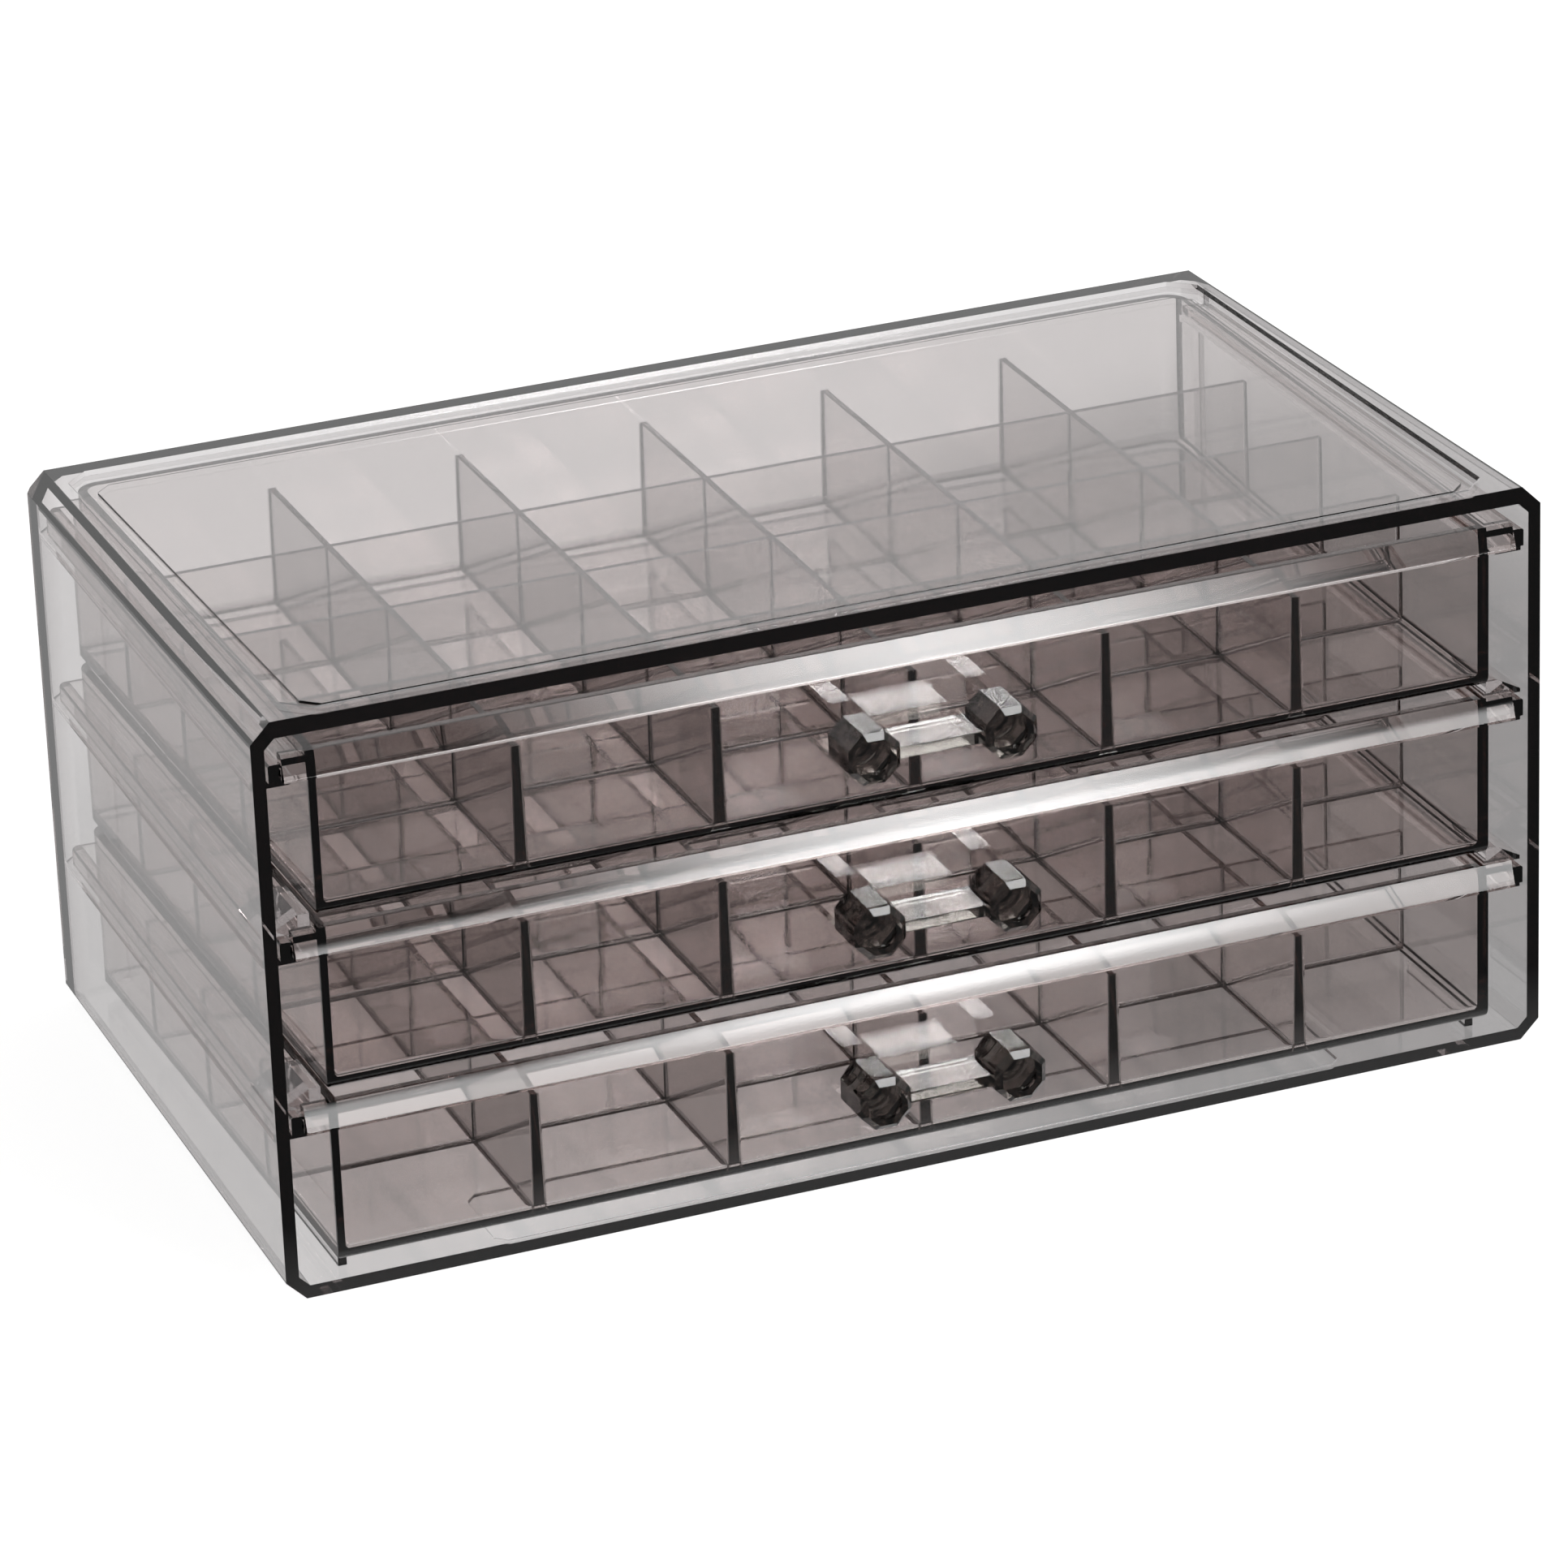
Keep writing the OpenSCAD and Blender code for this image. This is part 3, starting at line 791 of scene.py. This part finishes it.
@dataclass
class Studio:
    """Plain pale floor, white surroundings, soft lamps and the camera at the photograph's angle."""

    floor_half: float = 6.0
    floor_z_mm: float = -0.3
    # The floor's own glow and what the lamps add to it make white together
    floor_glow: float = 0.86
    floor_colour: str = "#F6F5F4"
    fill_light: float = 0.16
    # Camera: where it stands round its target, how it is tilted, and its lens
    azimuth: float = -21.2218
    elevation: float = 23.6201
    roll: float = -2.1867
    distance_mm: float = 1425.9947
    target_mm: Triple = (1.1461, 0.0, 46.8242)
    lens_mm: float = 180.28
    sensor_mm: float = 36.0
    clip: Pair = (0.05, 60.0)
    # What gloss sees: a dim room in front of the object, and paler floor and backdrop behind it
    dim_front: float = 0.12
    floor_pale: float = 0.6
    room_pale: float = 0.85
    # Where that turns from dim to pale: on the floor by place along y, in the room by the ray's way along y
    floor_turn: Pair = (-0.095, -0.07)
    room_turn: Pair = (-0.2, 0.3)
    # Painted shade in the floor's glow, seen through the object: a fixed darkening under it by place,
    # weaker at its left, stronger at its right
    shade_left: float = 0.76
    shade_right: float = 0.40
    # Where the shade starts and is full, and where it starts to fade and ends, along x and y
    shade_x: Quad = (-0.17, -0.10, 0.20, 0.30)
    shade_y: Quad = (-0.12, -0.07, 0.15, 0.24)
    # The shade's back edge and its turn from weak to strong both run slantwise over the floor
    shade_back_slant: float = 0.28
    shade_turn_slant: float = 0.4
    shade_turn: Pair = (-0.05, 0.06)
    # Bounces that pass the many clear walls of three full drawers, and the brightest sparkle that is kept
    bounces: int = 48
    gloss_bounces: int = 24
    sparkle_limit: float = 26.0
    boxes: tuple[SoftBox, ...] = (
        # White along the upper lips, and a soft light in the compartments
        SoftBox("front_softbox", (0.54, -1.45, 0.50), (0.0, 0.0, 0.06), 0.37, 0.50, 13.0,
                fade_width=1.0, through_plastic=True),
        # Small and bright at the camera's height: white tops of the handles
        SoftBox("camera_side_softbox", (0.476, -1.218, 0.618), (0.0, -0.067, 0.05), 0.22, 0.05, 24.0,
                fade_width=0.5),
        # White along the lowest lip
        SoftBox("low_strip_softbox", (0.50, -1.45, 0.285), (0.0, 0.0, 0.06), 1.1, 0.16, 5.5,
                fade_height=0.5),
        # Plain light from above
        SoftBox("overhead_softbox", (0.50, -0.68, 1.33), (0.0, 0.0, 0.05), 0.5, 0.5, 8.0),
    )

    def build(self) -> None:
        """Sets the floor, the world, the lamps, the camera and the light paths."""
        self.floor()
        self.world()
        for box in self.boxes:
            box.build()
        self.camera()
        self.paths()

    def floor(self) -> None:
        """Adds the floor: white to the eye, with painted shade where it is seen through the object, dimmer
        in gloss.
        """
        half, z = self.floor_half, self.floor_z_mm * MM
        mesh = bpy.data.meshes.new("studio_floor")
        mesh.from_pydata([(-half, -half, z), (half, -half, z), (half, half, z), (-half, half, z)], [],
                         [(0, 1, 2, 3)])
        obj = bpy.data.objects.new("studio_floor", mesh)
        bpy.context.scene.collection.objects.link(obj)
        mesh.materials.append(self.paper())

    def paper(self) -> bpy.types.Material:
        """Makes the floor's paper.

        Returns:
            The material.
        """
        paper = bpy.data.materials.new("white_studio_paper")
        paper.use_nodes = True
        tree = paper.node_tree
        tree.nodes.clear()
        ray = add_node(tree, "ShaderNodeLightPath").outputs
        seen = calc(tree, "MAXIMUM", ray["Is Glossy Ray"], ray["Is Transmission Ray"])
        at = add_node(tree, "ShaderNodeSeparateXYZ", {
            0: add_node(tree, "ShaderNodeTexCoord").outputs["Object"]}).outputs
        # Seen through the plastic, the floor's glow carries painted shade under the object instead of its
        # plain glow
        direct = add_node(tree, "ShaderNodeMix", {
            0: ray["Is Transmission Ray"], 2: self.floor_glow,
            3: self.shade_under(tree, at["X"], at["Y"])}, data_type="FLOAT")
        mirrored = add_node(tree, "ShaderNodeMapRange", {
            "Value": at["Y"], "From Min": self.floor_turn[0], "From Max": self.floor_turn[1],
            "To Min": self.dim_front, "To Max": self.floor_pale})
        # Light that was mirrored anywhere on its way shows the dim room, also out of the plastic's inside
        mirror = calc(tree, "GREATER_THAN", ray["Glossy Depth"], ONE_BOUNCE)
        glow = add_node(tree, "ShaderNodeMix", {
            0: mirror, 2: direct.outputs[0], 3: mirrored.outputs["Result"]}, data_type="FLOAT")
        lit = add_node(tree, "ShaderNodeBsdfDiffuse", {"Color": linear(self.floor_colour)})
        dark = add_node(tree, "ShaderNodeBsdfDiffuse", {"Color": BLACK})
        shaded = add_node(tree, "ShaderNodeMixShader", {
            0: seen, 1: lit.outputs["BSDF"], 2: dark.outputs["BSDF"]})
        shine = add_node(tree, "ShaderNodeEmission", {"Strength": glow.outputs[0]})
        both = add_node(tree, "ShaderNodeAddShader", {
            0: shaded.outputs["Shader"], 1: shine.outputs["Emission"]})
        add_node(tree, "ShaderNodeOutputMaterial", {"Surface": both.outputs["Shader"]})
        return paper

    def shade_under(self, tree: bpy.types.NodeTree, x: bpy.types.NodeSocket,
                    y: bpy.types.NodeSocket) -> bpy.types.NodeSocket:
        """Paints a soft shade into the floor's glow under the object, fixed by its place on the floor.

        Args:
            tree: The tree that gets the nodes.
            x: Socket with the place on the floor along x.
            y: Socket with the place on the floor along y.

        Returns:
            The socket with the share of the floor's glow that the painted shade leaves.
        """
        behind = calc(tree, "MULTIPLY_ADD", x, -self.shade_back_slant, y)
        across = calc(tree, "MULTIPLY_ADD", y, -self.shade_turn_slant, x)
        edges = ((x, self.shade_x[0], self.shade_x[1]), (x, self.shade_x[3], self.shade_x[2]),
                 (y, self.shade_y[0], self.shade_y[1]), (behind, self.shade_y[3], self.shade_y[2]))
        inside: Any = 1.0
        for value, start, end in edges:
            edge = add_node(tree, "ShaderNodeMapRange", {
                "Value": value, "From Min": start, "From Max": end}, interpolation_type="SMOOTHSTEP")
            inside = calc(tree, "MULTIPLY", edge.outputs["Result"], inside)
        shade = add_node(tree, "ShaderNodeMapRange", {
            "Value": across, "From Min": self.shade_turn[0], "From Max": self.shade_turn[1],
            "To Min": self.shade_left, "To Max": self.shade_right})
        return add_node(tree, "ShaderNodeMix", {
            0: inside, 2: 1.0, 3: shade.outputs["Result"]}, data_type="FLOAT").outputs[0]

    def world(self) -> None:
        """Makes the room: white to the eye and through plastic, dim in gloss, a weak fill for the floor."""
        world = bpy.data.worlds.new("white_studio")
        bpy.context.scene.world = world
        world.use_nodes = True
        tree = world.node_tree
        tree.nodes.clear()
        ray = add_node(tree, "ShaderNodeLightPath").outputs
        mirror = calc(tree, "GREATER_THAN", ray["Glossy Depth"], ONE_BOUNCE)
        way = add_node(tree, "ShaderNodeSeparateXYZ", {
            0: add_node(tree, "ShaderNodeTexCoord").outputs["Generated"]}).outputs
        room = add_node(tree, "ShaderNodeMapRange", {
            "Value": way["Y"], "From Min": self.room_turn[0], "From Max": self.room_turn[1],
            "To Min": self.dim_front, "To Max": self.room_pale})
        direct = add_node(tree, "ShaderNodeMix", {
            0: mirror, 2: 1.0, 3: room.outputs["Result"]}, data_type="FLOAT")
        fill = calc(tree, "GREATER_THAN", ray["Diffuse Depth"], ONE_BOUNCE)
        strength = add_node(tree, "ShaderNodeMix", {
            0: fill, 2: direct.outputs[0], 3: self.fill_light}, data_type="FLOAT")
        shine = add_node(tree, "ShaderNodeBackground", {"Strength": strength.outputs[0], "Color": WHITE})
        add_node(tree, "ShaderNodeOutputWorld", {"Surface": shine.outputs["Background"]})

    def camera(self) -> None:
        """Places the camera where the photograph was taken from."""
        a, e, r = (math.radians(v) for v in (self.azimuth, self.elevation, self.roll))
        back = Vector((math.sin(a) * math.cos(e), -math.cos(a) * math.cos(e), math.sin(e)))
        right = Vector((math.cos(a), math.sin(a), 0.0))
        up = back.cross(right)
        turned = (right * math.cos(r) + up * math.sin(r), up * math.cos(r) - right * math.sin(r), back)
        data = bpy.data.cameras.new("photo_camera")
        data.lens, data.sensor_width = self.lens_mm, self.sensor_mm
        data.clip_start, data.clip_end = self.clip
        obj = bpy.data.objects.new("photo_camera", data)
        bpy.context.scene.collection.objects.link(obj)
        place = Vector(self.target_mm) * MM + back * (self.distance_mm * MM)
        obj.matrix_world = Matrix.Translation(place) @ Matrix(turned).transposed().to_4x4()
        bpy.context.scene.camera = obj

    def paths(self) -> None:
        """Lets light pass the many clear walls, and sets the plain view."""
        scene = bpy.context.scene
        scene.view_settings.view_transform = "Standard"
        scene.cycles.max_bounces = self.bounces
        scene.cycles.transmission_bounces = self.bounces
        scene.cycles.glossy_bounces = self.gloss_bounces
        scene.cycles.transparent_max_bounces = self.gloss_bounces
        scene.cycles.sample_clamp_indirect = self.sparkle_limit


def main() -> None:
    """Builds the organizer and its studio."""
    logging.basicConfig(level=logging.INFO, format="%(name)s: %(message)s")
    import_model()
    Case().build()
    for level in Level:
        pieces = Drawer(level).build()
        LOG.info("%s drawer done, %d pieces", level.value, len(pieces))
    Studio().build()


if __name__ == "__main__":
    main()
